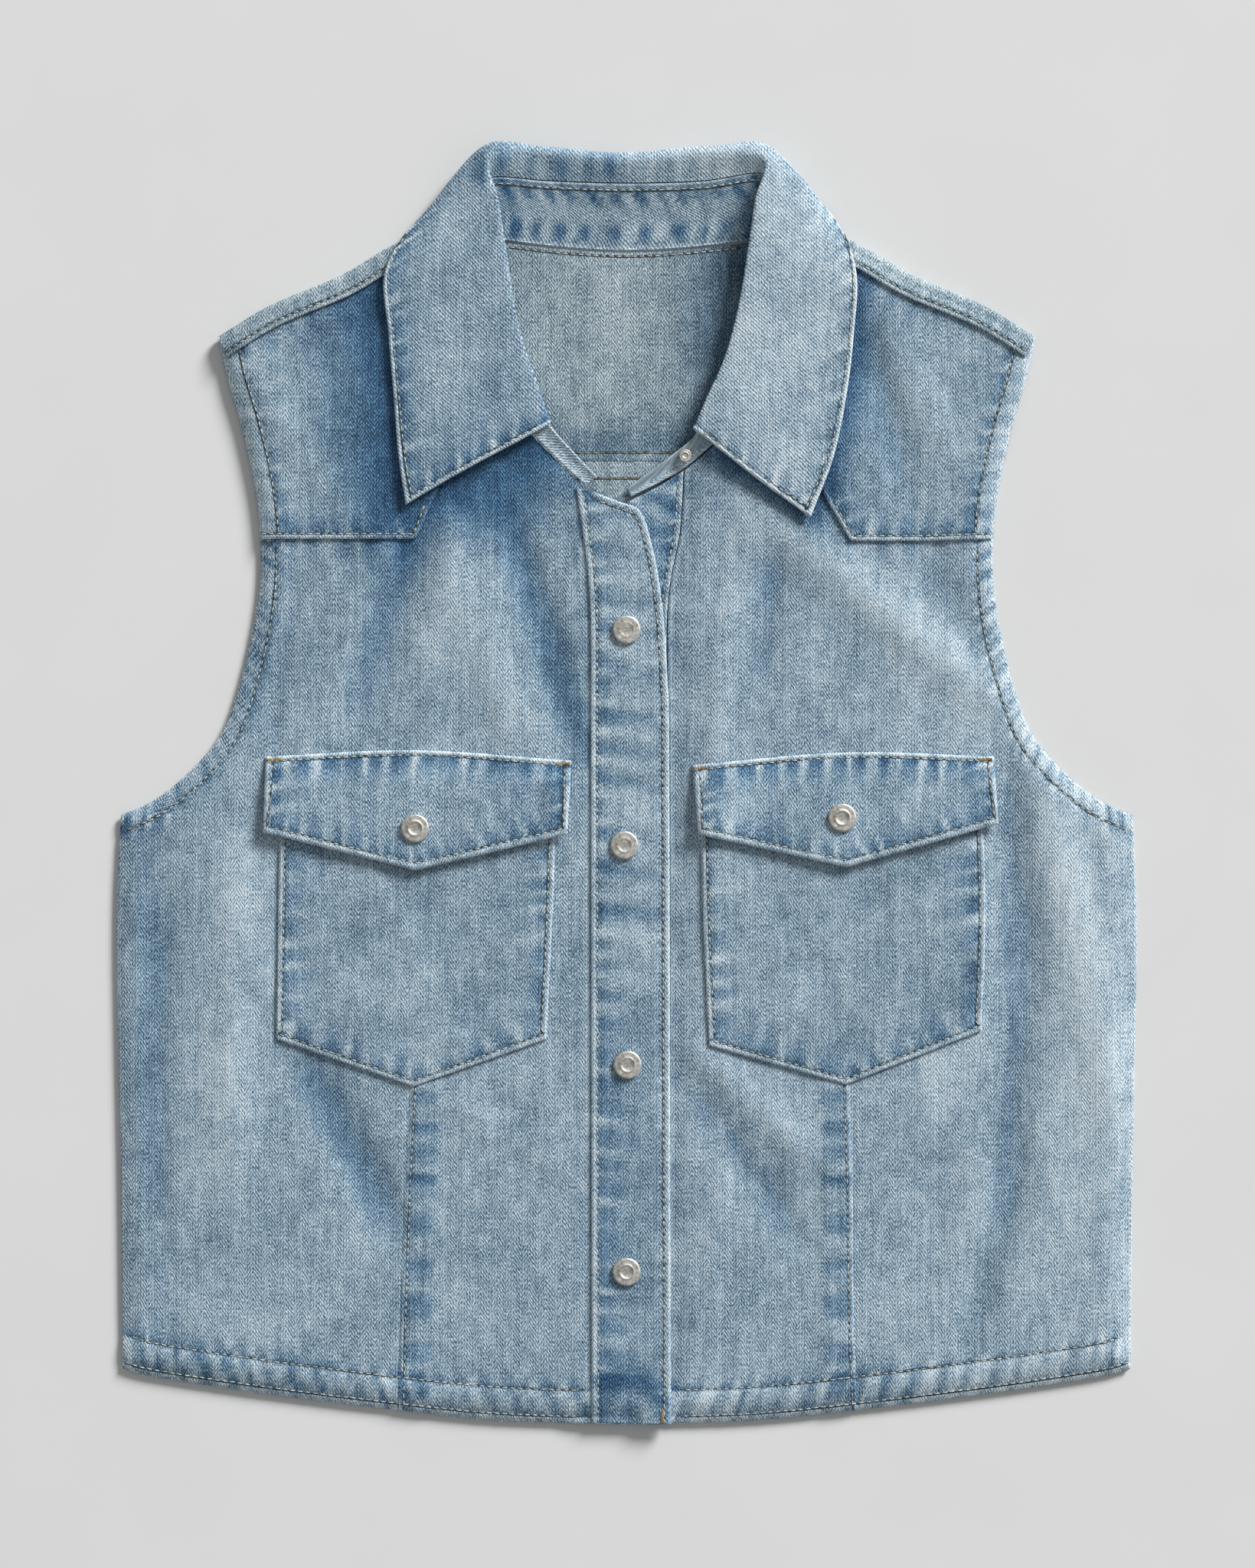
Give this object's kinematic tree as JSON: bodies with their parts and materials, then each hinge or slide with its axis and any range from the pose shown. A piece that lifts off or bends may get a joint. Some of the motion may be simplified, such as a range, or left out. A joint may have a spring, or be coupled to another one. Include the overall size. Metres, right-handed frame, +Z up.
{
  "type": "denim vest",
  "caption": "Sleeveless washed-denim vest laid flat, with a turned-down collar, pointed front yokes, a snap placket and two chest pockets with pointed flaps",
  "frame": {"origin": "On the surface that the vest lies on, under the middle of its bounding box", "axes": "+X to the wearer's left across the vest, +Y from hem to collar, +Z up off the surface"},
  "size_m": [0.484, 0.6077, 0.0142],
  "materials": {
    "denim_front": "washed denim, mid blue, matt",
    "denim_back": "washed denim seen from its paler inside",
    "denim_trim": "washed denim, darker beside its stitching",
    "denim_collar": "washed denim with pale worn edges",
    "snap_metal": "worn antique nickel"
  },
  "bodies": {
    "root": {"back_body": "denim_back", "back_yoke": "denim_back", "front_right": "denim_front", "front_left": "denim_front", "front_yoke_right": "denim_front", "front_yoke_left": "denim_front", "placket_right": "denim_trim", "placket_left": "denim_trim", "pocket_right": "denim_front", "pocket_left": "denim_front", "flap_right": "denim_front", "flap_left": "denim_front", "collar_stand": "denim_collar", "collar_leaf": "denim_collar", "snap_1": "snap_metal", "snap_2": "snap_metal", "snap_3": "snap_metal", "snap_4": "snap_metal", "snap_flap_right": "snap_metal", "snap_flap_left": "snap_metal", "snap_stud_neck": "snap_metal"}
  },
  "joints": []
}
